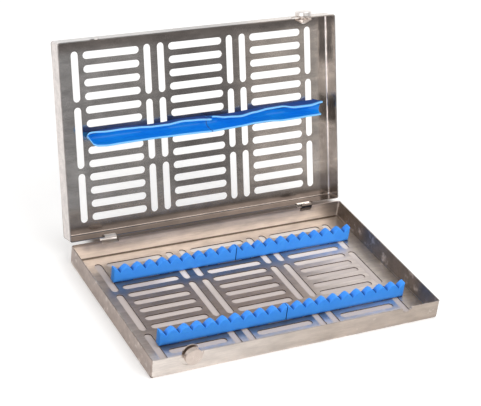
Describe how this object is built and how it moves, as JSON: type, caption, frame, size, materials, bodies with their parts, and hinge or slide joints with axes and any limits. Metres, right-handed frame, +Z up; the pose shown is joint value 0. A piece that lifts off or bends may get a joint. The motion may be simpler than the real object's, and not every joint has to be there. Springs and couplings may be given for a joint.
{
  "type": "dental instrument cassette",
  "caption": "Slotted stainless tray with a like lid on hook hinges, toothed silicone instrument rails, soft hold-down strips and turning knob latches.",
  "frame": {"origin": "on the underside of the base plate, on the solid bar just behind the middle slot row, midway between the left and right walls", "axes": "+Z up, -Y towards the open front with the base knob at its left, +X to the right along the hinge; stored with the lid open at its stop"},
  "size_m": [0.28, 0.2603, 0.1985],
  "materials": {
    "sheet_steel": "folded stainless sheet, soft mill sheen",
    "knob_steel": "turned stainless",
    "latch_steel": "turned and punched stainless",
    "rail_silicone": "moulded silicone, satin",
    "strip_silicone": "moulded silicone, satin"
  },
  "bodies": {
    "base": {"base_tray": "sheet_steel", "base_rail_front_left": "rail_silicone", "base_rail_front_right": "rail_silicone", "base_rail_back_left": "rail_silicone", "base_rail_back_right": "rail_silicone", "base_latch_plate": "latch_steel", "base_latch_collar": "latch_steel"},
    "lid": {"lid_tray": "sheet_steel", "lid_strip_left": "strip_silicone", "lid_strip_right": "strip_silicone", "lid_latch_plate": "latch_steel", "lid_latch_collar": "latch_steel"},
    "base_washer": {"base_latch_washer": "latch_steel"},
    "base_knob": {"base_latch_knob": "knob_steel", "base_latch_clip": "latch_steel"},
    "lid_washer": {"lid_latch_washer": "latch_steel"},
    "lid_knob": {"lid_latch_knob": "knob_steel", "lid_latch_clip": "latch_steel"}
  },
  "joints": [
    {"name": "lid_hinge", "type": "hinge", "parent": "base", "child": "lid", "pos_m": [0, 0.08532, 0.018], "axis": [1, 0, 0], "range_deg": [0, 108]},
    {"name": "base_washer_slide", "type": "slide", "parent": "base", "child": "base_washer", "axis": [0, 1, 0], "range_m": [0, 0.0006]},
    {"name": "base_knob_turn", "type": "hinge", "parent": "base_washer", "child": "base_knob", "pos_m": [-0.105, -0.09617, 0.018], "axis": [0, 1, 0], "range_deg": [0, 180]},
    {"name": "lid_washer_slide", "type": "slide", "parent": "lid", "child": "lid_washer", "axis": [0, -0.309, -0.9511], "range_m": [0, 0.0006]},
    {"name": "lid_knob_turn", "type": "hinge", "parent": "lid_washer", "child": "lid_knob", "pos_m": [0.105, 0.14141, 0.19062], "axis": [0, -0.309, -0.9511], "range_deg": [0, 180]}
  ],
  "couplings": [
    {"joint": "base_washer_slide", "follows": "base_knob_turn", "m_per_rad": 0.00019098},
    {"joint": "lid_washer_slide", "follows": "lid_knob_turn", "m_per_rad": 0.00019098}
  ]
}
